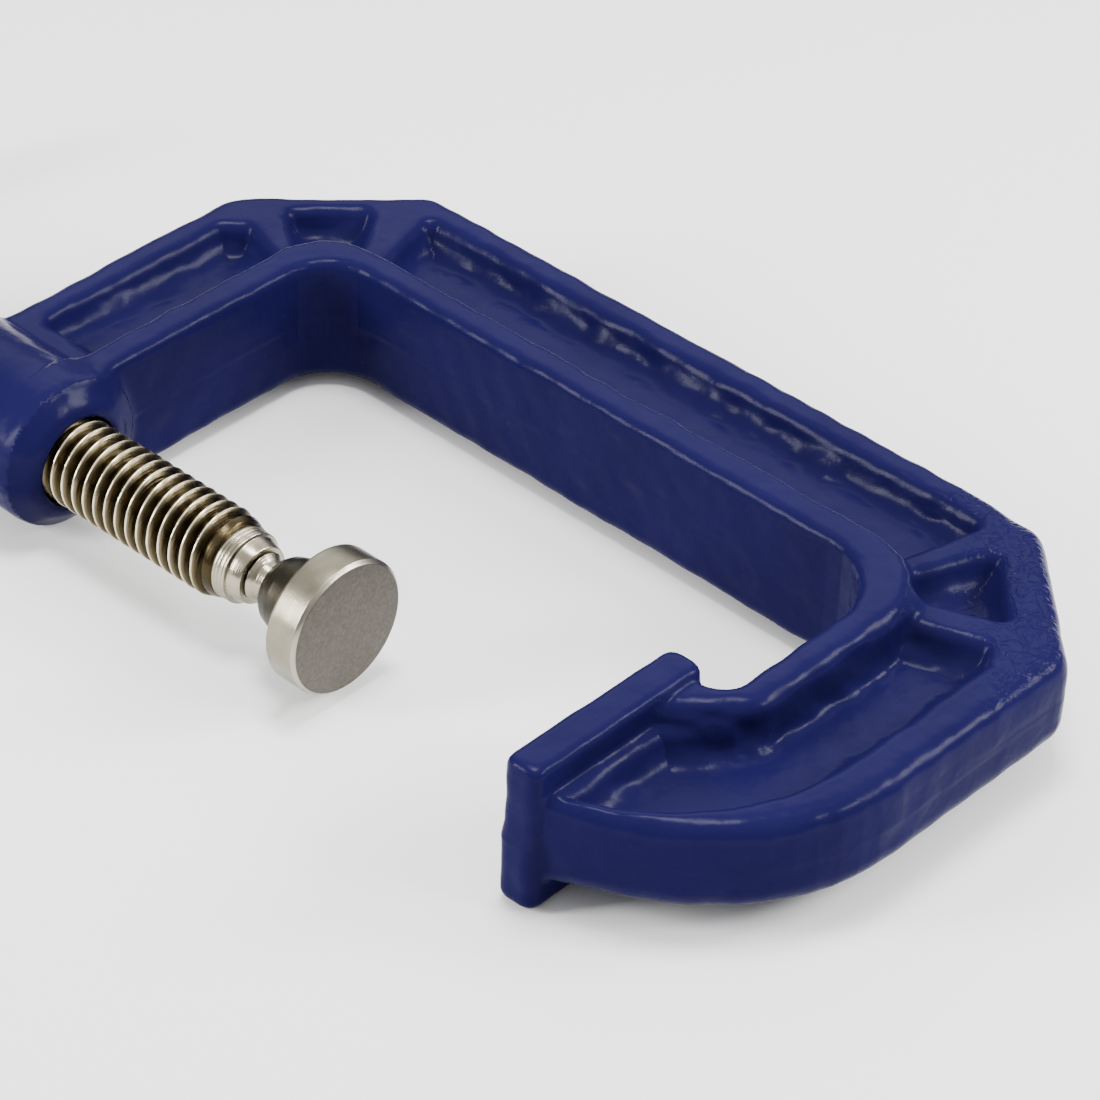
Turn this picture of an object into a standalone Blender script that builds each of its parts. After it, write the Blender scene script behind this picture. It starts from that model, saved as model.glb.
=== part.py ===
"""A 75 mm C-clamp lying on its side: cast frame, screw spindle, swivel pad and sliding tommy bar.

Metres, +Z up. The origin is on the screw's axis, in the plane of the anvil's working face.
+X runs along the screw towards the anvil, +Y from the screw towards the spine of the frame.
"""

import math

import bmesh
import bpy

# Frame casting: plan sizes. Walls facing the throat are "inner", the others "outer".
ARM_INNER_X = -0.0957
ARM_OUTER_X = -0.1189
SPINE_INNER_Y_AT_ARM = 0.0505
SPINE_INNER_Y_AT_JAW = 0.0491
SPINE_OUTER_Y = 0.0743
JAW_INNER_X = 0.0100
JAW_OUTER_X = 0.0333
ARM_CHAMFER = 0.0209
JAW_CHAMFER = 0.0192
CHAMFER_ROUND = 0.0055
THROAT_ROUND_AT_ARM = 0.0080
THROAT_ROUND_AT_JAW = 0.0115
JAW_BEND_Y = 0.0215
JAW_TIP = (0.0064, -0.0125)
ARM_FOOT_Y = 0.0030

# Frame casting: heights either side of the middle plane.
FLANGE_HALF = 0.0098
RIM_HALF = 0.0068
WEB_HALF = 0.0024
ANVIL_HALF = 0.0111

# Frame casting: widths of the flange round the throat, the outer rim and the corner ribs.
FLANGE_WIDTH = 0.0053
SPINE_FLANGE_Y = 0.0552
FLANGE_ROUND_AT_ARM = 0.0092
FLANGE_ROUND_AT_JAW = 0.0135
RIM_WIDTH = 0.0041
JAW_POCKET_X = 0.0276
JAW_POCKET_TIP = (0.0075, -0.0098)
POCKET_ROUND = 0.0018
EDGE_ROUND = 0.0010
ARM_POCKET_Y = 0.0125

# Anvil plate at the end of the lower jaw.
ANVIL_THICKNESS = 0.0058
ANVIL_LOW_Y = -0.0129
ANVIL_HIGH_Y = 0.0163
ANVIL_RIM = 0.0017

# Screw boss on the arm, and the bore through it.
BOSS_RADIUS = 0.0110
BOSS_FACE_X = -0.0923
BOSS_BACK_X = -0.1265
BOSS_ROUND = 0.0028
BORE_RADIUS = 0.0067
BORE_MOUTH_RADIUS = 0.0076
BORE_MOUTH_DEPTH = 0.0009

# Spindle, drawn part way: positions along the screw's axis.
THREAD_RADIUS = 0.00635
THREAD_END_X = -0.0610
COLLAR_RADIUS = 0.0052
COLLAR_STEP_X = -0.0589
COLLAR_NOSE_RADIUS = 0.0043
COLLAR_NOSE_X = -0.0568
HEAD_FRONT_X = -0.1680
HEAD_LENGTH = 0.0135
HEAD_RADIUS = 0.0078
HEAD_ROUND = 0.0018

# Ball end of the spindle, and the swivel pad swaged over it.
BALL_X = -0.0490
BALL_RADIUS = 0.0042
NECK_RADIUS = 0.0025
NECK_BACK_X = -0.0565
NECK_BACK_RADIUS = 0.0038
NECK_FRONT_X = -0.0551
SOCKET_RADIUS = 0.0045
SOCKET_LIP_RADIUS = 0.0033
SOCKET_MOUTH_RADIUS = 0.0035
PAD_RADIUS = 0.0099
PAD_FACE_X = -0.0408
PAD_THICKNESS = 0.0054
PAD_CHAMFER = 0.0005
HUB_BACK_X = -0.0535
HUB_BACK_RADIUS = 0.0040
HUB_FRONT_RADIUS = 0.0060

# Tommy bar, its cross hole in the head, and its end knobs.
BAR_RADIUS = 0.0030
BAR_HOLE_RADIUS = 0.0034
BAR_HALF_LENGTH = 0.0400
KNOB_RADIUS = 0.0048
KNOB_LENGTH = 0.0085
KNOB_WALL = 0.0025
GAP = 0.0003

ROUND_STEPS = 48
SMALL_STEPS = 32
KNOB_STEPS = 30
ARC_STEPS = 6
WELD = 0.00001
FLAT_DEGREES = 0.1

PARTS = "c_clamp"
CUTTERS = "c_clamp_cutters"


def new_collection(name):
    made = bpy.data.collections.new(name)
    bpy.context.scene.collection.children.link(made)
    return made


def clear_scene():
    for obj in list(bpy.data.objects):
        bpy.data.objects.remove(obj)


def material(name, colour, roughness, metallic):
    made = bpy.data.materials.new(name)
    made.use_nodes = True
    shader = made.node_tree.nodes["Principled BSDF"]
    shader.inputs["Base Color"].default_value = (*colour, 1.0)
    shader.inputs["Roughness"].default_value = roughness
    shader.inputs["Metallic"].default_value = metallic
    return made


def link_mesh(name, mesh, collection):
    obj = bpy.data.objects.new(name, mesh)
    collection.objects.link(obj)
    return obj


def as_cutter(obj):
    obj.hide_render = True
    obj.display_type = "WIRE"
    return obj


def finish(obj, finish_material, sharp_degrees=35):
    """Gives a part its material and smooth round faces."""
    obj.data.materials.append(finish_material)
    obj.data.shade_smooth()
    obj.data.set_sharp_from_angle(angle=math.radians(sharp_degrees))
    return obj


# Outlines.


def corner_arc(before, corner, after, radius):
    """The points of an arc of this radius, tangent to both sides of a corner."""
    bx, by = before[0] - corner[0], before[1] - corner[1]
    ax, ay = after[0] - corner[0], after[1] - corner[1]
    b_len, a_len = math.hypot(bx, by), math.hypot(ax, ay)
    bx, by, ax, ay = bx / b_len, by / b_len, ax / a_len, ay / a_len
    half = math.acos(max(-1.0, min(1.0, bx * ax + by * ay))) / 2
    mid_x, mid_y = bx + ax, by + ay
    mid_len = math.hypot(mid_x, mid_y)
    reach = radius / math.sin(half)
    cx, cy = corner[0] + mid_x / mid_len * reach, corner[1] + mid_y / mid_len * reach
    run = radius / math.tan(half)
    start = math.atan2(corner[1] + by * run - cy, corner[0] + bx * run - cx)
    end = math.atan2(corner[1] + ay * run - cy, corner[0] + ax * run - cx)
    turn = (end - start + math.pi) % (2 * math.pi) - math.pi
    angles = [start + turn * i / ARC_STEPS for i in range(ARC_STEPS + 1)]
    return [(cx + radius * math.cos(a), cy + radius * math.sin(a)) for a in angles]


def rounded(corners):
    """The closed outline through (x, y, radius) corners, each rounded where its radius isn't 0."""
    points = []
    for i, (x, y, radius) in enumerate(corners):
        if radius:
            points += corner_arc(corners[i - 1], (x, y), corners[(i + 1) % len(corners)], radius)
        else:
            points.append((x, y))
    return points


def bezier(start, pull, push, end, steps):
    """The points of a cubic curve after its start, as corners without a radius."""
    points = []
    for i in range(1, steps + 1):
        t = i / steps
        s = 1 - t
        weights = (s**3, 3 * s * s * t, 3 * s * t * t, t**3)
        ends = (start, pull, push, end)
        x = sum(w * p[0] for w, p in zip(weights, ends))
        y = sum(w * p[1] for w, p in zip(weights, ends))
        points.append((x, y, 0))
    return points


def jaw_sweep(start, pull, push, end):
    """One curved side of the lower jaw, from the straight wall to the tip behind the anvil plate."""
    return [(*start, 0)] + bezier(start, pull, push, end, 12)


def across_spine(point):
    """A point of the jaw's corner moved to the same place in the arm's corner."""
    middle = (ARM_INNER_X + JAW_INNER_X) / 2
    return (2 * middle - point[0], *point[1:])


# Solids.


def merge_flat_faces(solid):
    """Makes one face of each flat area, so that later cuts and bevels meet no inner edges."""
    bmesh.ops.dissolve_limit(
        solid,
        angle_limit=math.radians(FLAT_DEGREES),
        use_dissolve_boundaries=False,
        verts=solid.verts,
        edges=solid.edges,
    )


def plate(name, outline, half, centre_z, collection):
    """A flat plate of this outline, as a mesh, with its middle at centre_z."""
    curve = bpy.data.curves.new(name, "CURVE")
    curve.dimensions = "2D"
    curve.fill_mode = "BOTH"
    curve.extrude = half
    spline = curve.splines.new("POLY")
    spline.points.add(len(outline) - 1)
    for point, (x, y) in zip(spline.points, outline):
        point.co = (x, y, 0.0, 1.0)
    spline.use_cyclic_u = True
    flat = bpy.data.objects.new(name + "_outline", curve)
    collection.objects.link(flat)
    bpy.context.view_layer.update()
    graph = bpy.context.evaluated_depsgraph_get()
    mesh = bpy.data.meshes.new_from_object(flat.evaluated_get(graph))
    solid = bmesh.new()
    solid.from_mesh(mesh)
    bmesh.ops.remove_doubles(solid, verts=solid.verts, dist=WELD)
    bmesh.ops.recalc_face_normals(solid, faces=solid.faces)
    merge_flat_faces(solid)
    solid.to_mesh(mesh)
    solid.free()
    obj = link_mesh(name, mesh, collection)
    obj.matrix_world = flat.matrix_world.copy()
    obj.location.z = centre_z
    bpy.data.objects.remove(flat)
    return obj


def block(name, low, high, collection):
    mesh = bpy.data.meshes.new(name)
    solid = bmesh.new()
    bmesh.ops.create_cube(solid, size=1.0)
    sides = [b - a for a, b in zip(low, high)]
    middle = [(a + b) / 2 for a, b in zip(low, high)]
    bmesh.ops.scale(solid, vec=sides, verts=solid.verts)
    bmesh.ops.translate(solid, vec=middle, verts=solid.verts)
    solid.to_mesh(mesh)
    solid.free()
    return link_mesh(name, mesh, collection)


def rod(name, radius, low, high, axis, collection, steps=ROUND_STEPS, far_radius=None):
    """A cylinder or cone along world X or Y, from low to high."""
    mesh = bpy.data.meshes.new(name)
    solid = bmesh.new()
    bmesh.ops.create_cone(
        solid,
        cap_ends=True,
        segments=steps,
        radius1=radius,
        radius2=radius if far_radius is None else far_radius,
        depth=high - low,
    )
    solid.to_mesh(mesh)
    solid.free()
    obj = link_mesh(name, mesh, collection)
    middle = (low + high) / 2
    if axis == "X":
        obj.rotation_euler = (0, math.pi / 2, 0)
        obj.location = (middle, 0, 0)
    else:
        obj.rotation_euler = (-math.pi / 2, 0, 0)
        obj.location = (0, middle, 0)
    return obj


def turned(name, profile, origin, axis, collection, steps=ROUND_STEPS):
    """A turned solid from (distance along the axis from origin, radius) pairs, high end first."""
    mesh = bpy.data.meshes.new(name)
    verts = [(radius, 0.0, along) for along, radius in profile]
    edges = [(i, i + 1) for i in range(len(verts) - 1)]
    mesh.from_pydata(verts, edges, [])
    obj = link_mesh(name, mesh, collection)
    obj.location = origin
    obj.rotation_euler = (0, math.pi / 2, 0) if axis == "X" else (-math.pi / 2, 0, 0)
    screw = obj.modifiers.new("Turn", "SCREW")
    screw.axis = "Z"
    screw.steps = steps
    screw.render_steps = steps
    screw.use_merge_vertices = True
    screw.merge_threshold = WELD
    screw.use_smooth_shade = True
    return obj


def boolean(obj, other, operation):
    cut = obj.modifiers.new(operation.title(), "BOOLEAN")
    cut.operation = operation
    cut.object = other
    cut.solver = "EXACT"


def apply_modifiers(obj):
    bpy.context.view_layer.update()
    graph = bpy.context.evaluated_depsgraph_get()
    made = bpy.data.meshes.new_from_object(obj.evaluated_get(graph))
    obj.modifiers.clear()
    obj.data = made
    return obj


def round_edges(obj, width, segments=2):
    bevel = obj.modifiers.new("Edges", "BEVEL")
    bevel.width = width
    bevel.segments = segments
    bevel.limit_method = "ANGLE"
    bevel.angle_limit = math.radians(50)
    return apply_modifiers(obj)


# Frame casting.


def casting_outline():
    """The outer rim's outline. Its throat side lies inside the flange, which makes that surface."""
    inside = FLANGE_WIDTH / 2
    corners = [
        (ARM_OUTER_X, ARM_FOOT_Y, 0),
        (ARM_OUTER_X, SPINE_OUTER_Y - ARM_CHAMFER, CHAMFER_ROUND),
        (ARM_OUTER_X + ARM_CHAMFER, SPINE_OUTER_Y, CHAMFER_ROUND),
        (JAW_OUTER_X - JAW_CHAMFER, SPINE_OUTER_Y, CHAMFER_ROUND),
        (JAW_OUTER_X, SPINE_OUTER_Y - JAW_CHAMFER, CHAMFER_ROUND),
    ]
    bend = (JAW_OUTER_X, JAW_BEND_Y)
    corners += jaw_sweep(bend, (JAW_OUTER_X, 0.0050), (0.0245, -0.0065), JAW_TIP)
    corners += [
        (ANVIL_THICKNESS / 2, JAW_TIP[1], 0),
        (ANVIL_THICKNESS / 2, 0.0120, 0),
        (JAW_INNER_X + inside, 0.0170, 0),
        (JAW_INNER_X + inside, SPINE_FLANGE_Y - inside, FLANGE_ROUND_AT_JAW),
        (ARM_INNER_X - inside, SPINE_FLANGE_Y - inside, FLANGE_ROUND_AT_ARM),
        (ARM_INNER_X - inside, ARM_FOOT_Y, 0),
    ]
    return rounded(corners)


def flange_outline():
    """The flange round the throat, from the boss to the back of the anvil plate."""
    back_x = ANVIL_THICKNESS / 2
    throat_side = [
        (ARM_INNER_X, ARM_FOOT_Y, 0),
        (ARM_INNER_X, SPINE_INNER_Y_AT_ARM, THROAT_ROUND_AT_ARM),
        (JAW_INNER_X, SPINE_INNER_Y_AT_JAW, THROAT_ROUND_AT_JAW),
        (JAW_INNER_X, ANVIL_HIGH_Y - 0.0006, 0.0036),
        (back_x, ANVIL_HIGH_Y - 0.0006, 0),
    ]
    pocket_side = [
        (back_x, 0.0050, 0),
        (JAW_INNER_X + FLANGE_WIDTH, 0.0168, 0.0060),
        (JAW_INNER_X + FLANGE_WIDTH, SPINE_FLANGE_Y, FLANGE_ROUND_AT_JAW),
        (ARM_INNER_X - FLANGE_WIDTH, SPINE_FLANGE_Y, FLANGE_ROUND_AT_ARM),
        (ARM_INNER_X - FLANGE_WIDTH, ARM_FOOT_Y, 0),
    ]
    return rounded(throat_side + pocket_side)


def spine_pocket():
    """The long pocket of the spine. Its throat side lies inside the flange."""
    far = SPINE_OUTER_Y - RIM_WIDTH
    near = SPINE_FLANGE_Y - FLANGE_WIDTH / 2
    low, high = (0.0046, near, 0), (0.0092, far, POCKET_ROUND)
    return rounded([across_spine(low), across_spine(high), high, low])


def arm_corner_pocket():
    """The small pocket between the two ribs of the arm's corner."""
    corners = [
        (-0.0934, 0.0530, 0),
        (-0.1016, 0.0664, POCKET_ROUND),
        (-0.1114, 0.0565, POCKET_ROUND),
        (-0.0980, 0.0472, 0),
    ]
    return rounded(corners)


def jaw_corner_pocket():
    """The small pocket between the two ribs of the jaw's corner."""
    corners = [
        (0.0078, 0.0530, 0),
        (0.0138, 0.0668, POCKET_ROUND),
        (0.0248, 0.0555, POCKET_ROUND),
        (0.0114, 0.0500, 0),
    ]
    return rounded(corners)


def arm_pocket():
    outer = ARM_OUTER_X + RIM_WIDTH
    inner = ARM_INNER_X - FLANGE_WIDTH / 2
    return rounded(
        [
            (inner, ARM_POCKET_Y, 0),
            (outer, ARM_POCKET_Y, POCKET_ROUND),
            (outer, 0.0470, POCKET_ROUND),
            (-0.1115, 0.0503, POCKET_ROUND),
            (inner, 0.0462, 0),
        ]
    )


def jaw_pocket():
    """The lower jaw's pocket, from its corner rib to its pointed end behind the anvil plate."""
    outer = JAW_POCKET_X
    inner = JAW_INNER_X + FLANGE_WIDTH / 2
    sweep = jaw_sweep((outer, JAW_BEND_Y), (outer, 0.0070), (0.0215, -0.0035), JAW_POCKET_TIP)
    corners = [
        (inner, 0.0456, 0),
        (0.0258, 0.0503, POCKET_ROUND),
        (outer, 0.0470, POCKET_ROUND),
        *sweep,
        (ANVIL_THICKNESS + ANVIL_RIM, 0.0070, 0),
        (inner, 0.0142, 0),
    ]
    return rounded(corners)


def cut_pocket(casting, name, outline, cutters):
    """Cuts a pocket into both faces of the casting, down to the web."""
    deep = FLANGE_HALF
    for side, sign in (("top", 1), ("bottom", -1)):
        cutter = plate(f"{name}_{side}", outline, deep / 2, sign * (WEB_HALF + deep / 2), cutters)
        boolean(casting, as_cutter(cutter), "DIFFERENCE")


def join(casting, other):
    """Joins another solid to the casting and removes it."""
    boolean(casting, other, "UNION")
    apply_modifiers(casting)
    bpy.data.objects.remove(other)


def make_boss(collection):
    """The boss, a cylinder whose two ends are rounded as a quarter of a circle."""
    length = BOSS_FACE_X - BOSS_BACK_X
    ring = BOSS_RADIUS - BOSS_ROUND
    quarter = [math.pi / 2 * i / ARC_STEPS for i in range(ARC_STEPS + 1)]
    front = [(length - BOSS_ROUND * (1 - math.cos(a)), ring + BOSS_ROUND * math.sin(a)) for a in quarter]
    back = [(length - along, radius) for along, radius in reversed(front)]
    profile = [(length, 0), *front, *back, (0, 0)]
    boss = apply_modifiers(turned("screw_boss", profile, (BOSS_BACK_X, 0, 0), "X", collection))
    solid = bmesh.new()
    solid.from_mesh(boss.data)
    merge_flat_faces(solid)
    solid.to_mesh(boss.data)
    solid.free()
    return boss


def bore_cutter(cutters):
    """The screw's bore, flared at each mouth, as one turned cutter that runs past both faces."""
    past = 0.002
    flare = past * (BORE_MOUTH_RADIUS - BORE_RADIUS) / BORE_MOUTH_DEPTH
    length = BOSS_FACE_X - BOSS_BACK_X
    profile = [
        (length + past, 0),
        (length + past, BORE_MOUTH_RADIUS + flare),
        (length - BORE_MOUTH_DEPTH, BORE_RADIUS),
        (BORE_MOUTH_DEPTH, BORE_RADIUS),
        (-past, BORE_MOUTH_RADIUS + flare),
        (-past, 0),
    ]
    return apply_modifiers(turned("bore", profile, (BOSS_BACK_X, 0, 0), "X", cutters))


def make_frame(parts, cutters, enamel):
    """The one-piece casting: arm, spine and lower jaw, with the screw boss and the anvil plate."""
    casting = plate("frame_casting", casting_outline(), RIM_HALF, 0, parts)
    cut_pocket(casting, "spine_pocket", spine_pocket(), cutters)
    cut_pocket(casting, "arm_corner_pocket", arm_corner_pocket(), cutters)
    cut_pocket(casting, "jaw_corner_pocket", jaw_corner_pocket(), cutters)
    cut_pocket(casting, "arm_pocket", arm_pocket(), cutters)
    cut_pocket(casting, "jaw_pocket", jaw_pocket(), cutters)
    apply_modifiers(casting)
    flange = plate("throat_flange", flange_outline(), FLANGE_HALF, 0, parts)
    join(casting, round_edges(flange, EDGE_ROUND))
    anvil = block(
        "anvil_plate",
        (0, ANVIL_LOW_Y, -ANVIL_HALF),
        (ANVIL_THICKNESS, ANVIL_HIGH_Y, ANVIL_HALF),
        parts,
    )
    join(casting, round_edges(anvil, EDGE_ROUND))
    join(casting, make_boss(parts))
    boolean(casting, as_cutter(bore_cutter(cutters)), "DIFFERENCE")
    return finish(casting, enamel)


# Spindle and pad.


def arc_profile(centre, radius, start_degrees, end_degrees, steps):
    """Profile points on a circle about the axis point centre, by the angle from the +axis direction."""
    points = []
    for i in range(steps + 1):
        angle = math.radians(start_degrees + (end_degrees - start_degrees) * i / steps)
        points.append((centre + radius * math.cos(angle), radius * math.sin(angle)))
    return points


def make_spindle(parts, cutters, steel):
    """The screw: head with its cross hole, threaded shank at its outer diameter, and turned collar."""
    head_back = HEAD_FRONT_X - HEAD_LENGTH
    profile = [
        (COLLAR_NOSE_X, 0),
        (COLLAR_NOSE_X, COLLAR_NOSE_RADIUS),
        (COLLAR_STEP_X + 0.0008, COLLAR_RADIUS - 0.0005),
        (COLLAR_STEP_X, COLLAR_RADIUS),
        (THREAD_END_X, COLLAR_RADIUS),
        (THREAD_END_X - 0.0006, THREAD_RADIUS),
        (HEAD_FRONT_X, THREAD_RADIUS),
        (HEAD_FRONT_X, HEAD_RADIUS - HEAD_ROUND / 3),
        (HEAD_FRONT_X - HEAD_ROUND / 3, HEAD_RADIUS),
        (head_back + HEAD_ROUND, HEAD_RADIUS),
        (head_back + HEAD_ROUND * 0.3, HEAD_RADIUS - HEAD_ROUND * 0.3),
        (head_back, HEAD_RADIUS - HEAD_ROUND),
        (head_back, 0),
    ]
    spindle = apply_modifiers(turned("spindle", profile, (0, 0, 0), "X", parts))
    hole = rod("cross_hole", BAR_HOLE_RADIUS, -0.02, 0.02, "Y", cutters, steps=SMALL_STEPS)
    hole.location.x = HEAD_FRONT_X - HEAD_LENGTH / 2
    boolean(spindle, as_cutter(hole), "DIFFERENCE")
    return finish(spindle, steel)


def make_ball_end(parts, steel):
    """The neck and ball at the spindle's tip, turned about the ball's centre."""
    meet = math.degrees(math.asin(NECK_RADIUS / BALL_RADIUS))
    profile = arc_profile(0, BALL_RADIUS, 0, 180 - meet, 14)
    profile[0] = (BALL_RADIUS, 0)
    profile += [
        (NECK_FRONT_X - BALL_X, NECK_RADIUS),
        (NECK_BACK_X - BALL_X, NECK_BACK_RADIUS),
        (NECK_BACK_X - BALL_X, 0),
    ]
    return finish(turned("ball_end", profile, (BALL_X, 0, 0), "X", parts, SMALL_STEPS), steel)


def make_pad(parts, steel):
    """The swivel pad: a disc whose hub holds a ball socket with a flared mouth."""
    face = PAD_FACE_X - BALL_X
    back = face - PAD_THICKNESS
    hub_back = HUB_BACK_X - BALL_X
    lip = math.degrees(math.asin(SOCKET_LIP_RADIUS / SOCKET_RADIUS))
    socket = arc_profile(0, SOCKET_RADIUS, 180 - lip, 0, 12)
    socket[-1] = (SOCKET_RADIUS, 0)
    profile = [
        (face, 0),
        (face, PAD_RADIUS - PAD_CHAMFER),
        (face - PAD_CHAMFER, PAD_RADIUS),
        (back + PAD_CHAMFER, PAD_RADIUS),
        (back, PAD_RADIUS - PAD_CHAMFER),
        (back, HUB_FRONT_RADIUS),
        (hub_back + 0.0035, 0.0053),
        (hub_back + 0.0014, 0.0048),
        (hub_back + 0.0004, HUB_BACK_RADIUS + 0.0005),
        (hub_back, HUB_BACK_RADIUS),
        (hub_back, SOCKET_MOUTH_RADIUS),
        *socket,
    ]
    return finish(turned("swivel_pad", profile, (BALL_X, 0, 0), "X", parts, SMALL_STEPS), steel)


# Tommy bar.


def make_bar(parts, steel, bar_x):
    bar = rod("tommy_bar", BAR_RADIUS, -BAR_HALF_LENGTH, BAR_HALF_LENGTH, "Y", parts, SMALL_STEPS)
    bar.location.x = bar_x
    round_edges(bar, BAR_RADIUS / 6)
    return finish(bar, steel)


def make_knob(name, side, parts, steel, bar_x):
    """A round knob pressed over one end of the tommy bar."""
    mouth = BAR_HALF_LENGTH - KNOB_LENGTH + KNOB_WALL
    top = mouth + KNOB_LENGTH
    edge = KNOB_RADIUS * 0.35
    profile = [
        (top, 0),
        (top - edge * 0.25, KNOB_RADIUS - edge),
        (top - edge, KNOB_RADIUS - edge * 0.25),
        (top - edge * 1.6, KNOB_RADIUS),
        (mouth + edge * 1.2, KNOB_RADIUS),
        (mouth + edge * 0.4, KNOB_RADIUS - edge * 0.4),
        (mouth, KNOB_RADIUS - edge),
        (mouth, BAR_RADIUS + GAP),
        (BAR_HALF_LENGTH + GAP, BAR_RADIUS + GAP),
        (BAR_HALF_LENGTH + GAP, 0),
    ]
    knob = turned(name, profile, (bar_x, 0, 0), "Y", parts, KNOB_STEPS)
    if side < 0:
        knob.rotation_euler = (math.pi / 2, 0, 0)
    return finish(knob, steel)


def main():
    clear_scene()
    parts, cutters = new_collection(PARTS), new_collection(CUTTERS)
    enamel = material("blue_enamel", (0.020, 0.030, 0.200), 0.25, 0.0)
    nickel = material("nickel_plate", (0.62, 0.59, 0.53), 0.28, 1.0)
    steel = material("worn_steel", (0.45, 0.42, 0.38), 0.45, 1.0)
    make_frame(parts, cutters, enamel)
    make_spindle(parts, cutters, nickel)
    make_ball_end(parts, nickel)
    make_pad(parts, steel)
    bar_x = HEAD_FRONT_X - HEAD_LENGTH / 2
    make_bar(parts, nickel, bar_x)
    make_knob("bar_knob_near", -1, parts, nickel, bar_x)
    make_knob("bar_knob_far", 1, parts, nickel, bar_x)


main()
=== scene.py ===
import math

import bmesh
import bpy
import numpy as np
from mathutils import Matrix, Vector


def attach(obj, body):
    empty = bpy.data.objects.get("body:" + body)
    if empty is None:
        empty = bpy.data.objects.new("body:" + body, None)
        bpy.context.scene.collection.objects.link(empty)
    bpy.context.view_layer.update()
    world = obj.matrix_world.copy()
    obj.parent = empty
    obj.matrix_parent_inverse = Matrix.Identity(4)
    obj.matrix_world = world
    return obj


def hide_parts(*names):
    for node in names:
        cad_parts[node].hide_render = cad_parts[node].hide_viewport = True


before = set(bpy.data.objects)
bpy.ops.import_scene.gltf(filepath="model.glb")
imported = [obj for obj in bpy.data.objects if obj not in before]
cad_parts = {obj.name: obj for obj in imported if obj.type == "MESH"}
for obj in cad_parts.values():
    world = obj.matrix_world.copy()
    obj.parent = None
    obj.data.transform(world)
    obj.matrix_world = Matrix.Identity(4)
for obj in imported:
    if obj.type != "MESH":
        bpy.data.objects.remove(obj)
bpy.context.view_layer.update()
MM = 0.001

# ---------------------------------------------------------------- casting, as a distance field
# Everything here is in millimetres. The casting is the same above and below its middle plane, but for its
# lumps and the step in the anvil plate. A distance is negative inside the metal, and smooth_min joins two
# shapes with a cast fillet.

FLANGE_H, RIM_H, WEB_H, ANVIL_H = 9.85, 6.85, 2.4, 11.15
POCKET_DRAFT, FLANGE_DRAFT = 0.42, 0.06
ANVIL_X, ANVIL_HALF_THICK = 2.9, 2.95
ANVIL_Y, ANVIL_HALF_WIDE = 1.45, 15.5
BOSS_R, BOSS_FACE, BOSS_WALL, BOSS_BACK = 11.0, -92.3, -95.5, -126.5
CONE_TOP_R, CONE_FOOT_R = 7.7, 10.9
BORE_R, MOUTH_R, MOUTH_LIMIT_R = 6.62, 7.1, 8.8
CELL = 0.45
GRID_LOW, GRID_HIGH = (-127.8, -14.8, -12.4), (34.8, 75.6, 12.4)


def arc(before, corner, after, radius, steps=7):
    """Points along the round that replaces a corner."""
    b = np.subtract(before[:2], corner[:2])
    a = np.subtract(after[:2], corner[:2])
    b, a = b / np.hypot(*b), a / np.hypot(*a)
    half = math.acos(float(np.clip(b @ a, -1, 1))) / 2
    middle = (a + b) / np.hypot(*(a + b))
    centre = np.asarray(corner[:2]) + middle * radius / math.sin(half)
    run = radius / math.tan(half)
    start = np.asarray(corner[:2]) + b * run - centre
    end = np.asarray(corner[:2]) + a * run - centre
    s, e = math.atan2(start[1], start[0]), math.atan2(end[1], end[0])
    turn = (e - s + math.pi) % (2 * math.pi) - math.pi
    angles = s + turn * np.linspace(0, 1, steps + 1)
    return [tuple(centre + radius * np.array((math.cos(t), math.sin(t)))) for t in angles]


def rounded(corners):
    """A closed outline from (x, y) or (x, y, radius) corners."""
    points = []
    for i, corner in enumerate(corners):
        if len(corner) > 2 and corner[2]:
            points += arc(corners[i - 1], corner, corners[(i + 1) % len(corners)], corner[2])
        else:
            points.append(tuple(corner[:2]))
    return points


def bezier(p0, p1, p2, p3, steps):
    """Points along a curve, without its first one."""
    t = np.linspace(0, 1, steps + 1)[1:, None]
    p0, p1, p2, p3 = (np.array(p, float) for p in (p0, p1, p2, p3))
    xy = p0 * (1 - t) ** 3 + 3 * p1 * t * (1 - t) ** 2 + 3 * p2 * t * t * (1 - t) + p3 * t**3
    return [tuple(p) for p in xy]


def polygon(points, x, y):
    """Signed distance to a closed outline: negative inside."""
    points = np.asarray(points, float)
    best = np.full(np.broadcast(x, y).shape, 1e9)
    inside = np.zeros(best.shape, bool)
    for (ax, ay), (bx, by) in zip(points, np.roll(points, -1, axis=0)):
        ex, ey = bx - ax, by - ay
        t = np.clip(((x - ax) * ex + (y - ay) * ey) / (ex * ex + ey * ey), 0, 1)
        best = np.minimum(best, (x - ax - t * ex) ** 2 + (y - ay - t * ey) ** 2)
        if ay != by:
            crosses = (ay > y) != (by > y)
            inside ^= crosses & (x < ax + (y - ay) * ex / ey)
    best = np.sqrt(best)
    return np.where(inside, -best, best)


def smooth_min(a, b, k):
    """The smaller of two distances, blended where they differ by less than k."""
    h = np.clip(0.5 + 0.5 * (b - a) / k, 0, 1)
    return b + (a - b) * h - k * h * (1 - h)


def smooth_max(a, b, k):
    """The larger of two distances, blended in the same way."""
    return -smooth_min(-a, -b, k)


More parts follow.
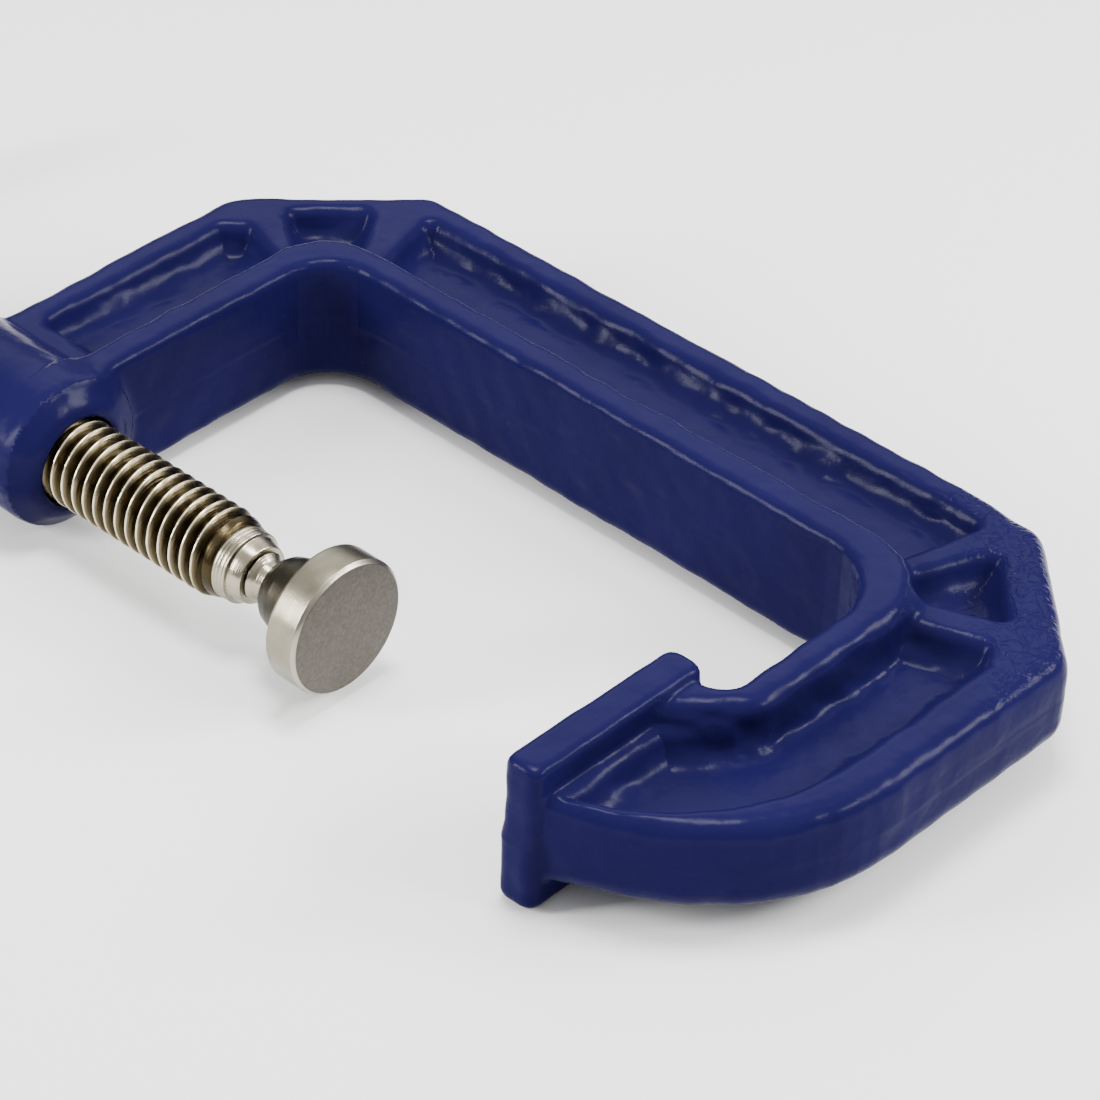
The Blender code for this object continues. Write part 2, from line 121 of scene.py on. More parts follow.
OUTLINE = rounded(
    [
        (-119.3, 3),
        (-119.3, 53.7, 5.5),
        (-98.3, 74.7, 5.5),
        (15.0, 74.6, 5.5),
        (34.5, 55.1, 5.5),
        (34.5, 21.5),
        *bezier((34.5, 21.5), (34.3, 5.0), (24.5, -6.5), (6.4, -12.5), 14),
        (2.9, -12.5),
        (2.9, 12.0),
        (12.7, 17.0),
        (12.7, 52.6, 9.2),
        (-98.4, 52.6, 9.2),
        (-98.4, 3),
    ]
)
THROAT = rounded(
    [
        (-95.7, -60),
        (-95.7, 50.5, 8.0),
        (10.0, 49.1, 11.5),
        (10.0, 15.7, 3.6),
        (2.9, 15.7),
        (2.9, -60),
    ]
)
FLANGE_OUTER = rounded(
    [(-101.0, 3), (-101.0, 55.2, 9.2), (15.2, 55.2, 13.5), (15.2, 16.8, 6.0), (2.9, 5.0)]
)
SPINE_POCKET = rounded([(-90.3, 52.5), (-94.9, 70.0, 1.8), (9.2, 70.0, 1.8), (4.6, 52.5)])
ARM_CORNER_POCKET = rounded([(-93.4, 53.0), (-101.6, 66.4, 1.8), (-111.4, 56.5, 1.8), (-98.0, 47.2)])
JAW_CORNER_POCKET = rounded([(7.8, 53.0), (13.8, 66.8, 1.8), (24.8, 55.5, 1.8), (11.4, 50.0)])
ARM_POCKET = rounded(
    [(-98.4, 12.5), (-114.8, 12.5, 1.8), (-114.8, 47.0, 1.8), (-111.5, 50.3, 1.8), (-98.4, 46.2)]
)
JAW_POCKET = rounded(
    [
        (12.7, 45.6),
        (25.8, 50.3, 1.8),
        (27.7, 47.0, 1.8),
        (27.7, 21.5),
        *bezier((27.7, 21.5), (27.7, 7.0), (21.5, -3.5), (7.5, -9.9), 14),
        (7.3, 7.0),
        (12.7, 14.2),
    ]
)
POCKETS = [SPINE_POCKET, ARM_CORNER_POCKET, JAW_CORNER_POCKET, ARM_POCKET, JAW_POCKET]


def ripple(x, y, z, wavelength, waves=14, seed=0):
    """A smooth, gently uneven field with this typical wavelength and about unit height."""
    made = np.random.default_rng(seed)
    total = 0.0
    for _ in range(waves):
        d = made.normal(size=3)
        d *= 2 * math.pi / (wavelength * made.uniform(0.7, 1.5) * np.linalg.norm(d))
        total = total + np.sin(d[0] * x + d[1] * y + d[2] * z + made.uniform(0, 2 * math.pi))
    return total * math.sqrt(2.0 / waves)


def plan(x, y):
    """The distances that don't depend on height."""
    found = {
        "outline": polygon(OUTLINE, x, y),
        "throat": polygon(THROAT, x, y),
        "flange": polygon(FLANGE_OUTER, x, y),
        "pockets": np.minimum.reduce([polygon(points, x, y) for points in POCKETS]),
    }
    found["skin"] = np.minimum(np.abs(found["outline"]), np.abs(found["throat"]))
    return found


def ribs_and_rim(p, a, wave, lump, at_jaw):
    """The whole outline at rim height, less the pockets, which leave the rim, the ribs and the web."""
    rim = smooth_max(p["outline"], a - RIM_H, 2.2 + 1.3 * at_jaw)
    mouth = p["pockets"] + POCKET_DRAFT * (RIM_H - a) + 0.10 * wave
    cut = smooth_max(mouth, WEB_H - a, 2.5 + 0.4 * np.clip(wave, -2, 2) + 0.25 * lump)
    return smooth_max(rim, -cut, 1.5)


def throat_flange(p, a, wave, lump, at_jaw):
    """The thicker band round the throat; its outer arris is rounder along the jaw."""
    uneven = 0.12 * wave * np.clip((FLANGE_H - a) / 2, 0, 1)
    sloped = p["flange"] - FLANGE_DRAFT * (FLANGE_H - a) - uneven
    arris = 1.9 + 0.9 * at_jaw + 0.2 * lump
    return smooth_max(smooth_max(sloped, a - FLANGE_H, arris), -p["throat"], 2.0)


def anvil_plate(x, y, z, a):
    """The anvil plate, whose lower half was cast a little to one side of its upper half."""
    shift = 0.6 * np.clip(0.5 - z / 2.0, 0, 1)
    across = np.abs(y + shift - ANVIL_Y) - ANVIL_HALF_WIDE
    plate = smooth_max(np.abs(x - ANVIL_X) - ANVIL_HALF_THICK, across, 2.0)
    return smooth_max(plate, a - ANVIL_H, 1.5)


def screw_boss(x, r):
    """The round boss, crisp where it is flush with the arm's wall and well rounded behind."""
    mid, half = (BOSS_WALL + BOSS_BACK) / 2, (BOSS_WALL - BOSS_BACK) / 2
    return smooth_max(r - BOSS_R, np.abs(x - mid) - half, np.where(x < mid, 3.3, 1.5))


def mouth_cone(x, r):
    """A low cone that rises from the arm's wall to the bore's mouth."""
    slope = 0.74 * (x - BOSS_FACE) + 0.67 * (r - CONE_TOP_R)
    cone = smooth_max(slope, x - BOSS_FACE, 1.2)
    return np.maximum(cone, np.maximum(-100 - x, r - CONE_FOOT_R))


def screw_bore(x, r):
    """The bore right through the boss, flared at both mouths."""
    face = np.maximum(x - BOSS_FACE, BOSS_BACK - x)
    flare = np.maximum(np.maximum(r - MOUTH_R - face, -face - 0.6), r - MOUTH_LIMIT_R)
    return np.maximum(np.minimum(r - BORE_R, flare), face - 3.0)


def casting(x, y, z, p):
    """Distance to the frame casting, from the plan distances p and the height."""
    a = np.abs(z)
    r = np.sqrt(y * y + z * z)
    wave = ripple(x, y, z, 9, seed=2)
    lump = np.clip(ripple(x, y, z, 4.5, seed=6), -1.5, 1.5)
    at_jaw = np.clip((x - 4) / 8, 0, 1)
    body = ribs_and_rim(p, a, wave, lump, at_jaw)
    flange = throat_flange(p, a, wave, lump, at_jaw)
    body = smooth_min(body, flange, 1.5 + 0.5 * at_jaw + 0.25 * lump)
    body = smooth_min(body, anvil_plate(x, y, z, a), 0.9)
    body = smooth_min(body, screw_boss(x, r), 0.9)
    body = smooth_min(body, mouth_cone(x, r), 0.8 + 2.2 * np.clip(y / 6, 0, 1))
    # the skin is slightly uneven all over
    body = body + 0.035 * ripple(x, y, z, 16, seed=1) + 0.03 * ripple(x, y, z, 5, seed=4)
    # the mould's parting line: a fine raised seam at mid height on the outer faces and the throat
    seam = np.exp(-((z / 0.35) ** 2)) * np.clip(1.5 - p["skin"], 0, 1)
    body = body - np.where(x < -80, 0.08, 0.03) * seam
    return smooth_max(body, -screw_bore(x, r), 0.4)


def surface_nets(field, lo, cell):
    """The zero surface of a sampled field: a vertex in each crossed cell, a quad at each crossed edge."""
    neg = field < 0
    c = neg[:-1, :-1, :-1].astype(np.int8)
    for dx, dy, dz in np.ndindex(2, 2, 2):
        if dx or dy or dz:
            sx, sy, sz = (slice(d, None if d else -1) for d in (dx, dy, dz))
            c = c + neg[sx, sy, sz]
    cells = np.argwhere((c > 0) & (c < 8))
    index = np.full(c.shape, -1, np.int32)
    index[tuple(cells.T)] = np.arange(len(cells))
    total = np.zeros((len(cells), 3))
    count = np.zeros(len(cells))
    for axis in range(3):
        step = np.eye(3, dtype=int)[axis]
        others = [i for i in range(3) if i != axis]
        for u in (0, 1):
            for v in (0, 1):
                base = cells.copy()
                base[:, others[0]] += u
                base[:, others[1]] += v
                f0 = field[tuple(base.T)]
                f1 = field[tuple((base + step).T)]
                hit = (f0 < 0) != (f1 < 0)
                t = np.where(hit, f0 / np.where(hit, f0 - f1, 1), 0)
                at = base + t[:, None] * step
                total += np.where(hit[:, None], at, 0)
                count += hit
    verts = lo + cell * total / count[:, None]
    quads = []
    for axis in range(3):
        u, v = [i for i in range(3) if i != axis]
        step = np.eye(3, dtype=int)
        n0 = neg[tuple(slice(None, -1) if i == axis else slice(1, -1) for i in range(3))]
        n1 = neg[tuple(slice(1, None) if i == axis else slice(1, -1) for i in range(3))]
        edges = np.argwhere(n0 != n1)
        flips = n0[tuple(edges.T)]
        base = edges.copy()
        base[:, u] += 1
        base[:, v] += 1
        corners = [base - step[u] - step[v], base - step[v], base, base - step[u]]
        q = np.stack([index[tuple(k.T)] for k in corners], axis=1)
        if axis == 1:
            flips = ~flips
        q[~flips] = q[~flips][:, ::-1]
        quads.append(q)
    return verts, np.concatenate(quads)


def mesh_object(name, verts, faces, normals=None):
    """A smooth-shaded mesh object in the scene."""
    mesh = bpy.data.meshes.new(name)
    mesh.from_pydata([tuple(v) for v in verts], [], [tuple(int(i) for i in f) for f in faces])
    mesh.polygons.foreach_set("use_smooth", [True] * len(mesh.polygons))
    if normals is not None:
        mesh.normals_split_custom_set_from_vertices([tuple(n) for n in normals])
    obj = bpy.data.objects.new(name, mesh)
    bpy.context.scene.collection.objects.link(obj)
    return obj


def make_casting():
    """The casting's mesh: sampled on a grid, pulled on to the exact surface, with exact normals."""
    lo, hi = np.array(GRID_LOW), np.array(GRID_HIGH)
    shape = np.ceil((hi - lo) / CELL).astype(int) + 1
    xs, ys, zs = (lo[i] + CELL * np.arange(shape[i]) for i in range(3))
    gx, gy = np.meshgrid(xs, ys, indexing="ij")
    p = {k: v[:, :, None] for k, v in plan(gx, gy).items()}
    field = casting(xs[:, None, None], ys[None, :, None], zs[None, None, :], p)
    verts, quads = surface_nets(field, lo, CELL)
    e = 0.02  # the step that gradients are measured over

    def value(v):
        x, y, z = v.T
        return casting(x, y, z, plan(x, y))

    def gradient(v):
        return np.stack([value(v + e * d) - value(v - e * d) for d in np.eye(3)], axis=1) / (2 * e)

    for _ in range(2):
        g = gradient(verts)
        length2 = np.maximum((g * g).sum(axis=1), 0.25)
        move = -value(verts)[:, None] * g / length2[:, None]
        verts = verts + np.clip(move, -CELL * 0.5, CELL * 0.5)
    normals = gradient(verts)
    normals /= np.linalg.norm(normals, axis=1)[:, None]
    return mesh_object("casting_enamel", verts * MM, quads, normals)


# ---------------------------------------------------------------- turned pieces


def turned(name, profile, origin=(0, 0, 0), axis="X", steps=128):
    """A turned solid from (distance along the axis, radius) pairs in millimetres, closed on the axis."""
    verts, faces = [], []
    rings = []
    for along, radius in profile:
        if radius <= 0:
            rings.append([len(verts)])
            verts.append((along, 0, 0))
            continue
        rings.append(list(range(len(verts), len(verts) + steps)))
        for i in range(steps):
            t = 2 * math.pi * i / steps
            verts.append((along, radius * math.cos(t), radius * math.sin(t)))
    for a, b in zip(rings, rings[1:]):
        for i in range(steps):
            j = (i + 1) % steps
            if len(a) == 1:
                faces.append((a[0], b[i], b[j]))
            elif len(b) == 1:
                faces.append((a[i], b[0], a[j]))
            else:
                faces.append((a[i], b[i], b[j], a[j]))
    verts = np.array(verts, float)
    if axis == "Y":
        verts = verts[:, [1, 0, 2]] * np.array([-1, 1, 1])
    elif axis == "-Y":
        verts = verts[:, [1, 0, 2]] * np.array([1, -1, 1])
    verts = verts * MM + np.array(origin) * MM
    return mesh_object(name, verts, faces)


def soft_profile(points, radius, steps=4):
    """A profile with each inner corner rounded; the third number of a point is its own radius."""
    out = [points[0][:2]]
    for before, corner, after in zip(points, points[1:], points[2:]):
        r = corner[2] if len(corner) > 2 else radius
        if r <= 0:
            out.append(corner[:2])
            continue
        lb = math.dist(before[:2], corner[:2])
        la = math.dist(after[:2], corner[:2])
        b = np.subtract(before[:2], corner[:2]) / lb
        a = np.subtract(after[:2], corner[:2]) / la
        half = math.acos(float(np.clip(b @ a, -1, 1))) / 2
        r = min(r, 0.45 * min(lb, la) * math.tan(half))
        if r < 1e-3 or half > 1.55:
            out.append(corner[:2])
            continue
        out += arc(before, (*corner[:2], 0), after, r, steps)
    out.append(points[-1][:2])
    return out


PITCH = 25.4 / 12
THREAD_R, THREAD_ROOT = 6.35, 5.05
THREAD_BACK, THREAD_FRONT = -166.0, -60.9
THREAD_CREST, THREAD_TAPER = -60.8, -64.0
SHANK_R = 5.3


def thread_profile(phase):
    """Radius for a phase of 0 to 1 along one pitch: narrow rounded crest at 0.5, rounded root at 0."""
    t = np.abs((phase % 1.0) - 0.5) * 2
    flank = np.clip((1 - t) * 1.22 - 0.11, 0, 1)
    soft = 0.5 - 0.5 * np.cos(np.pi * flank)
    return THREAD_ROOT + (THREAD_R - THREAD_ROOT) * (0.7 * flank + 0.3 * soft)


def make_thread():
    """The threaded shank: a helix that tapers at the front and fades out behind."""
    steps = 96
    per_pitch = 14
    n = int((THREAD_FRONT - THREAD_BACK) / PITCH * per_pitch)
    xs = np.linspace(THREAD_BACK, THREAD_FRONT, n)
    theta = 2 * math.pi * np.arange(steps) / steps
    x, t = np.meshgrid(xs, theta, indexing="ij")
    r = thread_profile((x - THREAD_CREST) / PITCH - t / (2 * math.pi) + 0.5)
    r = np.minimum(r, THREAD_R - 0.33 * np.clip(x - THREAD_TAPER, 0, 4))
    fade_back = np.clip((THREAD_BACK + 2.0 - x) / 2.0, 0, 1)
    r = r * (1 - fade_back) + SHANK_R * fade_back
    verts = np.stack([x, r * np.cos(t), r * np.sin(t)], axis=-1).reshape(-1, 3)
    verts = list(map(tuple, verts))
    faces = []
    for i in range(n - 1):
        for j in range(steps):
            k = (j + 1) % steps
            faces.append((i * steps + j, i * steps + k, (i + 1) * steps + k, (i + 1) * steps + j))
    for ring, sign in ((0, 1), (n - 1, -1)):
        centre = len(verts)
        verts.append((xs[ring], 0, 0))
        for j in range(steps):
            k = (j + 1) % steps
            a, b = ring * steps + j, ring * steps + k
            faces.append((centre, b, a) if sign > 0 else (centre, a, b))
    thread = mesh_object("spindle_thread", np.array(verts) * MM, faces)
    flip_out(thread)
    return thread


def make_collar():
    """The turned end of the screw: three tool grooves behind a stepped nose."""
    profile = [
        (-56.8, 0),
        (-56.8, 4.2, 0.3),
        (-58.1, 4.6, 0.3),
        (-58.8, 4.7, 0.1),
        (-58.95, 5.2, 0.15),
        (-59.3, 5.2, 0.05),
        (-59.4, 5.05, 0.05),
        (-59.5, 5.2, 0.05),
        (-59.9, 5.2, 0.05),
        (-60.05, 5.0, 0.05),
        (-60.2, 5.25, 0.05),
        (-60.5, 5.25, 0.05),
        (-60.6, 5.1, 0.05),
        (-60.7, 5.3, 0.05),
        (-61.0, 5.3, 0.1),
        (-61.9, 5.0, 0),
        (-61.9, 0),
    ]
    return turned("spindle_collar", soft_profile(profile, 0.2))


def make_head():
    """The screw's plain round head. The tommy bar passes through it, with no hole cut."""
    profile = [
        (-165.6, 0),
        (-165.6, SHANK_R, 0.1),
        (-168.0, 5.6, 0.6),
        (-168.0, 7.8, 0.8),
        (-181.5, 7.8, 2.2),
        (-181.5, 0),
    ]
    return turned("spindle_head", soft_profile(profile, 0.2, 6))


BALL, BALL_R, NECK_R = -49.0, 4.2, 2.5
SOCKET_R, LIP_R = 4.5, 3.3


def make_ball():
    """The ball that carries the pad, on its neck."""
    round_part = [
        (BALL + BALL_R * math.cos(t), BALL_R * math.sin(t), 0)
        for t in np.linspace(0.15, math.pi - math.asin(NECK_R / BALL_R), 16)
    ]
    neck = [(-54.6, NECK_R, 0.3), (-55.6, 2.8, 0.4), (-56.5, 3.7, 0.1), (-56.5, 0)]
    return turned("ball_neck", soft_profile([(BALL + BALL_R, 0), *round_part, *neck], 0.2))


def make_pad():
    """The swivel pad: a disc with a chamfered face, and a hub closed in over the ball."""
    disc = [(-40.8, 0), (-40.8, 9.35, 0.2), (-41.35, 9.9, 0.25), (-46.2, 9.9, 0.6)]
    hub = [
        (-46.2, 6.0, 0.8),
        (-49.0, 5.7, 0.6),
        (-51.0, 5.4, 0.6),
        (-52.4, 4.95, 0.8),
        (-53.45, 4.2, 0.4),
        (-53.5, 3.5, 0.1),
    ]
    socket = [
        (BALL + SOCKET_R * math.cos(t), SOCKET_R * math.sin(t), 0)
        for t in np.linspace(math.pi - math.asin(LIP_R / SOCKET_R), 0.15, 14)
    ]
    profile = [*disc, *hub, *socket, (BALL + SOCKET_R, 0)]
    return turned("pad_disc", soft_profile(profile, 0.2), steps=160)


BAR_X, BAR_R, BAR_HALF = -174.75, 3.0, 39.9


def make_bar():
    """The tommy bar, without its knobs."""
    profile = [(BAR_HALF, 0), (BAR_HALF, BAR_R, 0.5), (-BAR_HALF, BAR_R, 0.5), (-BAR_HALF, 0)]
    return turned("bar_rod", soft_profile(profile, 0.3), (BAR_X, 0, 0), "Y", steps=64)


def make_knob(name, axis):
    """A knob pressed over one end of the bar, hollow where the bar is."""
    profile = [
        (42.5, 0),
        (42.5, 4.8, 2.2),
        (34.0, 4.8, 1.2),
        (34.0, 3.3, 0.2),
        (40.3, 3.3, 0),
        (40.3, 0),
    ]
    return turned(name, soft_profile(profile, 0.3, 6), (BAR_X, 0, 0), axis, steps=96)


def flip_out(obj):
    """Turns every face outwards."""
    b = bmesh.new()
    b.from_mesh(obj.data)
    bmesh.ops.recalc_face_normals(b, faces=b.faces)
    b.to_mesh(obj.data)
    b.free()
    obj.data.polygons.foreach_set("use_smooth", [True] * len(obj.data.polygons))


# ---------------------------------------------------------------- materials


class Nodes:
    """A material with its shader, and short ways to add and link nodes."""

    def __init__(self, name):
        self.material = bpy.data.materials.new(name)
        self.material.use_nodes = True
        self.tree = self.material.node_tree
        self.shader = self.tree.nodes["Principled BSDF"]
        self.coords = self.add("ShaderNodeTexCoord")

    def add(self, kind, **settings):
        node = self.tree.nodes.new(kind)
        for key, value in settings.items():
            setattr(node, key, value)
        return node

    def link(self, a, b):
        self.tree.links.new(a, b)

    def noise(self, scale, detail=3.0, rough=0.5, distortion=0.0):
        node = self.add("ShaderNodeTexNoise")
        node.inputs["Scale"].default_value = scale
        node.inputs["Detail"].default_value = detail
        node.inputs["Roughness"].default_value = rough
        node.inputs["Distortion"].default_value = distortion
        self.link(self.coords.outputs["Object"], node.inputs["Vector"])
        return node.outputs["Fac"]

    def ramp(self, value, *stops):
        node = self.add("ShaderNodeValToRGB")
        points = node.color_ramp.elements
        while len(points) < len(stops):
            points.new(0.5)
        for point, (at, colour) in zip(points, stops):
            point.position = at
            if not isinstance(colour, tuple):
                colour = (colour, colour, colour)
            point.color = (*colour, 1.0)
        self.link(value, node.inputs["Fac"])
        return node.outputs["Color"]

    def bump(self, value, strength, distance, normal=None):
        node = self.add("ShaderNodeBump")
        node.inputs["Strength"].default_value = strength
        node.inputs["Distance"].default_value = distance
        self.link(value, node.inputs["Height"])
        if normal is not None:
            self.link(normal, node.inputs["Normal"])
        return node.outputs["Normal"]


def spread(n, value, low, high, to_low=0.0, to_high=1.0):
    """A value from low to high, as to_low to to_high."""
    node = n.add("ShaderNodeMapRange")
    node.inputs["From Min"].default_value = low
    node.inputs["From Max"].default_value = high
    node.inputs["To Min"].default_value = to_low
    node.inputs["To Max"].default_value = to_high
    n.link(value, node.inputs["Value"])
    return node.outputs["Result"]


def position(n):
    """The X, Y and Z of the shaded point, in metres, as a node's outputs."""
    split = n.add("ShaderNodeSeparateXYZ")
    n.link(n.coords.outputs["Object"], split.inputs["Vector"])
    return split.outputs


def combine(n, operation, a, b):
    """Two values through one math node."""
    node = n.add("ShaderNodeMath", operation=operation)
    n.link(a, node.inputs[0])
    n.link(b, node.inputs[1])
    return node.outputs["Value"]


def level_part(n):
    """How level the surface lies: 1 on a flat top or bottom, 0 on an upright wall."""
    facing = n.add("ShaderNodeNewGeometry")
    up = n.add("ShaderNodeSeparateXYZ")
    n.link(facing.outputs["Normal"], up.inputs["Vector"])
    level = n.add("ShaderNodeMath", operation="ABSOLUTE")
    n.link(up.outputs["Z"], level.inputs[0])
    return level.outputs["Value"]


def blend(n, factor, a, b):
    """From colour a to colour b; b is an output or a fixed colour."""
    node = n.add("ShaderNodeMix", data_type="RGBA")
    n.link(factor, node.inputs["Factor"])
    n.link(a, node.inputs["A"])
    if isinstance(b, tuple):
        node.inputs["B"].default_value = (*b, 1)
    else:
        n.link(b, node.inputs["B"])
    return node.outputs["Result"]


def enamel():
    """Deep blue enamel with slow waves and fine dimples, pitted on the rim at the jaw's corner."""
    n = Nodes("blue_enamel_look")
    s = n.shader.inputs
    s["IOR"].default_value = 1.115
    colour = n.ramp(
        n.noise(60, 3, 0.5), (0.3, (0.0060, 0.0050, 0.0375)), (0.7, (0.0075, 0.0061, 0.0455))
    )
    n.link(colour, s["Base Color"])
    n.link(n.ramp(n.noise(220, 3), (0.3, 0.20), (0.7, 0.28)), s["Roughness"])
    normal = n.bump(n.noise(150, 2, 0.5), 0.35, 0.0006)
    normal = n.bump(n.noise(600, 3, 0.55), 0.25, 0.00022, normal)
    # upright walls get less gloss than flats and rounded edges, or the pale floor's reflection greys them
    level = level_part(n)
    n.link(spread(n, level, 0.03, 0.30, 0.24, 0.56), s["Specular IOR Level"])
    # the rim at the jaw's corner was left rough by the mould
    at = position(n)
    place = spread(n, combine(n, "ADD", at["X"], at["Y"]), 0.070, 0.080)
    place = combine(n, "MULTIPLY", spread(n, level, 0.6, 0.95), place)
    lumps = n.ramp(n.noise(430, 2, 0.6, distortion=1.0), (0.38, 0.0), (0.62, 1.0))
    normal = n.bump(combine(n, "MULTIPLY", lumps, place), 0.6, 0.0003, normal)
    n.link(normal, s["Normal"])
    return n.material


def turning_lines(n, across, strength, distance, normal=None):
    """Fine rings left by the lathe, round the X axis."""
    scaled = n.add("ShaderNodeMath", operation="MULTIPLY")
    n.link(position(n)["X"], scaled.inputs[0])
    scaled.inputs[1].default_value = across
    rings = n.add("ShaderNodeTexNoise", noise_dimensions="1D")
    rings.inputs["Scale"].default_value = 1.0
    rings.inputs["Detail"].default_value = 3.0
    n.link(scaled.outputs["Value"], rings.inputs["W"])
    return n.bump(rings.outputs["Fac"], strength, distance, normal)


def from_axis(n):
    """Distance from the screw's axis, in millimetres."""
    split = n.add("ShaderNodeVectorMath", operation="MULTIPLY")
    split.inputs[1].default_value = (0, 1000, 1000)
    n.link(n.coords.outputs["Object"], split.inputs[0])
    length = n.add("ShaderNodeVectorMath", operation="LENGTH")
    n.link(split.outputs["Vector"], length.inputs[0])
    return length.outputs["Value"]


def multiply(n, a, b):
    """The product of two colours."""
    node = n.add("ShaderNodeMix", data_type="RGBA", blend_type="MULTIPLY")
    node.inputs["Factor"].default_value = 1.0
    n.link(a, node.inputs["A"])
    n.link(b, node.inputs["B"])
    return node.outputs["Result"]


def nickel(name="nickel_look", grooves=False):
    """Nickel plate over turned steel; with grooves, the colour darkens towards the thread roots and the
    crests carry a painted highlight.
    """
    n = Nodes(name)
    s = n.shader.inputs
    s["Metallic"].default_value = 1.0
    colour = n.ramp(
        n.noise(120, 3),
        (0.3, (0.28, 0.25, 0.18)),
        (0.6, (0.38, 0.345, 0.262)),
        (0.8, (0.32, 0.29, 0.215)),
    )
    if grooves:
        # painted light: the colour is darker towards the thread roots, and the crests get a painted
        # highlight brighter than white
        depth = spread(n, from_axis(n), THREAD_ROOT, THREAD_R)
        roots_dark_crests_highlit = n.ramp(
            depth,
            (0.05, (0.08, 0.062, 0.036)),
            (0.62, (0.17, 0.145, 0.10)),
            (0.9, (0.45, 0.41, 0.33)),
            (0.985, (2.5, 2.4, 2.25)),
        )
        colour = multiply(n, colour, roots_dark_crests_highlit)
    n.link(colour, s["Base Color"])
    n.link(n.ramp(n.noise(400, 4), (0.3, 0.20), (0.7, 0.34)), s["Roughness"])
    normal = turning_lines(n, 5000, 0.25, 0.0002)
    normal = n.bump(n.noise(900, 3), 0.10, 0.0002, normal)
    n.link(normal, s["Normal"])
    return n.material


def pad_steel():
    """The pad: satin rim, darker hub, a painted highlight round the chamfered edge and a matte, stained
    face.
    """
    n = Nodes("pad_look")
    s = n.shader.inputs
    s["Metallic"].default_value = 1.0
    plated = n.ramp(
        n.noise(160, 5, 0.6), (0.3, (0.18, 0.163, 0.118)), (0.7, (0.29, 0.268, 0.20))
    )
    stained = n.ramp(
        n.noise(2000, 5, 0.7),
        (0.3, (0.075, 0.067, 0.055)),
        (0.5, (0.101, 0.090, 0.076)),
        (0.7, (0.13, 0.118, 0.101)),
    )
    dull = n.ramp(n.noise(300, 4), (0.3, (0.026, 0.023, 0.016)), (0.7, (0.058, 0.052, 0.038)))
    along = position(n)["X"]
    on_hub = spread(n, along, -0.0461, -0.0468)
    # painted highlight: the chamfer ring at the face's edge is coloured bright all round
    edge_highlight = spread(n, along, -0.04145, -0.04130)
    on_face = spread(n, along, -0.04090, -0.04083)
    colour = blend(n, on_hub, plated, dull)
    colour = blend(n, edge_highlight, colour, (0.36, 0.335, 0.27))
    n.link(blend(n, on_face, colour, stained), s["Base Color"])
    n.link(spread(n, on_face, 0, 1, 0.30, 0.50), s["Roughness"])
    normal = turning_lines(n, 6000, 0.2, 0.0002)
    normal = n.bump(n.noise(1200, 4), 0.12, 0.0002, normal)
    n.link(normal, s["Normal"])
    return n.material


# ---------------------------------------------------------------- build

frame_look = make_casting()
frame_look.data.materials.append(enamel())
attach(frame_look, "frame")
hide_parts("frame_casting")

metal = nickel()
thread_metal = nickel("thread_look", grooves=True)
for piece in (make_thread(), make_collar(), make_head()):
    piece.data.materials.append(thread_metal if piece.name == "spindle_thread" else metal)
    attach(piece, "screw")
    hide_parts("spindle")

ball = make_ball()
ball.data.materials.append(metal)
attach(ball, "screw_tip")
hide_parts("ball_end")

pad = make_pad()
pad.data.materials.append(pad_steel())
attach(pad, "pad")
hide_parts("swivel_pad")

bar = make_bar()
bar.data.materials.append(metal)
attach(bar, "bar")
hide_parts("tommy_bar")

for name, axis, node in (("knob_near", "-Y", "bar_knob_near"), ("knob_far", "Y", "bar_knob_far")):
    knob = make_knob(name, axis)
    knob.data.materials.append(metal)
    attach(knob, "bar")
    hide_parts(node)

# ---------------------------------------------------------------- floor, light, camera

FLOOR_Z, FLOOR_HALF = -0.0115, 3
TARGET = Vector((-0.04, 0.03, 0))


def make_floor():
    """A plain pale floor, just below the clamp."""
    h = FLOOR_HALF
    mesh = bpy.data.meshes.new("floor")
    mesh.from_pydata([(-h, -h, 0), (h, -h, 0), (h, h, 0), (-h, h, 0)], [], [(0, 1, 2, 3)])
    obj = bpy.data.objects.new("floor", mesh)
    obj.location.z = FLOOR_Z
    bpy.context.scene.collection.objects.link(obj)
    paper = Nodes("floor_look")
    paper.shader.inputs["Roughness"].default_value = 0.9
    paper.shader.inputs["Base Color"].default_value = (0.92, 0.92, 0.92, 1)
    obj.data.materials.append(paper.material)
    return obj


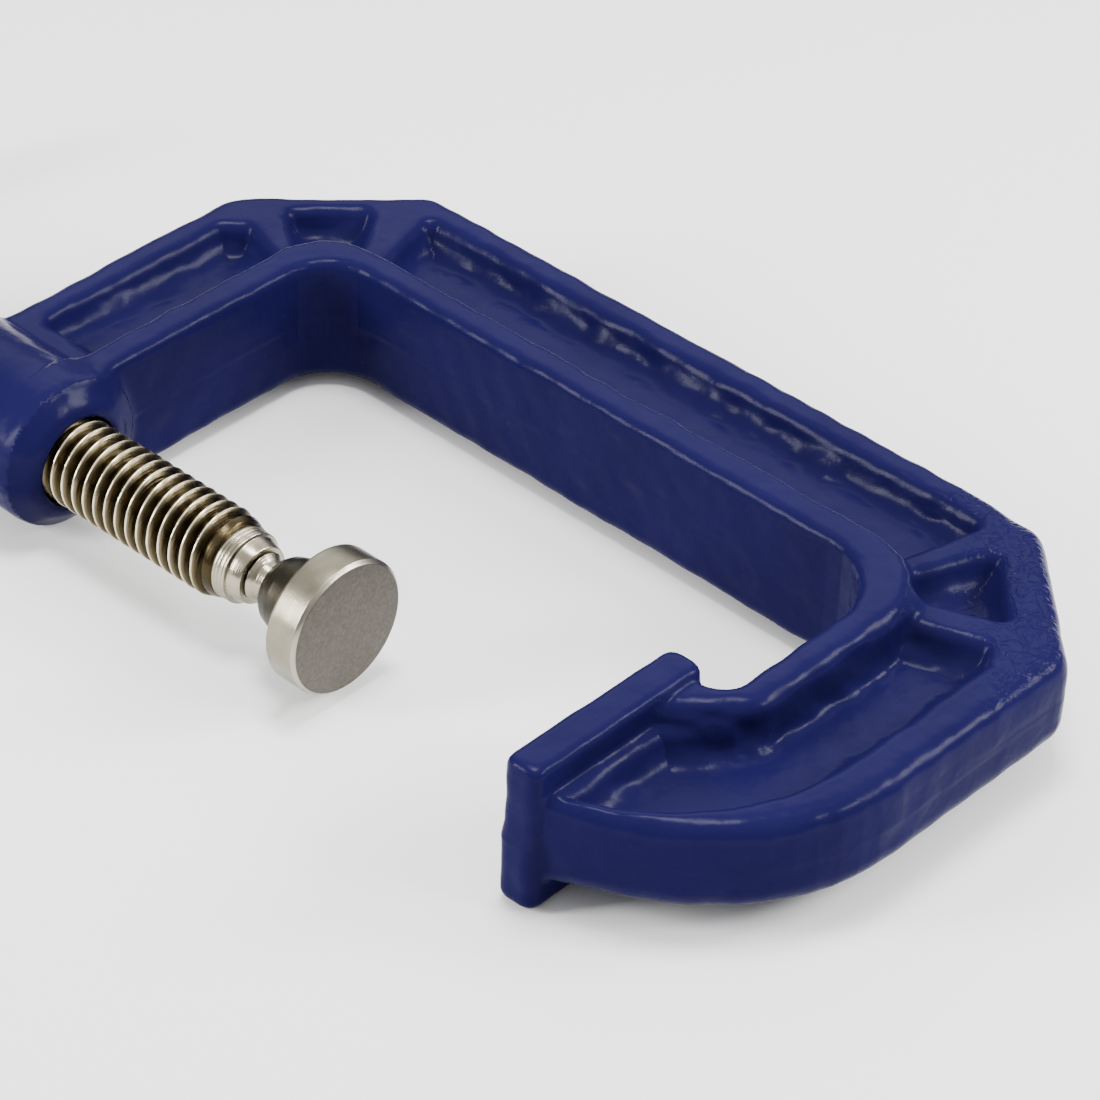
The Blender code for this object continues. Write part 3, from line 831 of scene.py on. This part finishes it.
def make_sky():
    """Soft surroundings, dark at the horizon and white above."""
    world = bpy.data.worlds.new("studio")
    bpy.context.scene.world = world
    world.use_nodes = True
    sky = world.node_tree
    incoming = sky.nodes.new("ShaderNodeTexCoord")
    height = sky.nodes.new("ShaderNodeSeparateXYZ")
    shade = sky.nodes.new("ShaderNodeValToRGB")
    shade.color_ramp.elements[0].position = 0.05
    shade.color_ramp.elements[0].color = (0.10, 0.10, 0.10, 1)
    shade.color_ramp.elements[1].position = 0.75
    shade.color_ramp.elements[1].color = (1, 1, 1, 1)
    sky.links.new(incoming.outputs["Generated"], height.inputs["Vector"])
    sky.links.new(height.outputs["Z"], shade.inputs["Fac"])
    sky.links.new(shade.outputs["Color"], sky.nodes["Background"].inputs["Color"])
    sky.nodes["Background"].inputs["Strength"].default_value = 1.0


def area(name, location, size, power):
    """A rectangular lamp that points at the middle of the clamp."""
    light = bpy.data.lights.new(name, "AREA")
    light.shape = "RECTANGLE"
    light.size, light.size_y = size
    light.energy = power
    obj = bpy.data.objects.new(name, light)
    obj.location = location
    obj.rotation_euler = (TARGET - Vector(location)).to_track_quat("-Z", "Y").to_euler()
    bpy.context.scene.collection.objects.link(obj)


def make_camera():
    """The camera, from the direction that it looks and its own right and down."""
    camera = bpy.data.cameras.new("camera")
    camera.lens = 143.80
    camera.sensor_width = 36
    camera.clip_start = 0.01
    viewer = bpy.data.objects.new("camera", camera)
    right = Vector((0.72819, 0.68485, 0.02669))
    down = Vector((0.43076, -0.42703, -0.79504))
    forward = Vector((-0.53309, 0.59044, -0.60596))
    turn = Matrix((right, -down, -forward)).transposed()
    viewer.matrix_world = Matrix.Translation((0.27839, -0.31483, 0.35497)) @ turn.to_4x4()
    bpy.context.scene.collection.objects.link(viewer)
    return viewer


floor = make_floor()
make_sky()
area("top_light", (-0.06, 0.06, 0.65), (0.20, 0.20), 5)
area("left_softbox", (-0.34, -0.44, 0.24), (0.14, 0.30), 5)
area("right_softbox", (0.30, 0.40, 0.31), (0.18, 0.18), 3.2)
area("corner_softbox", (0.39, 0.19, 0.32), (0.12, 0.12), 1.6)
area("back_panel", (-0.58, 0.63, 0.62), (1.0, 0.5), 3.1)
bpy.context.scene.camera = make_camera()
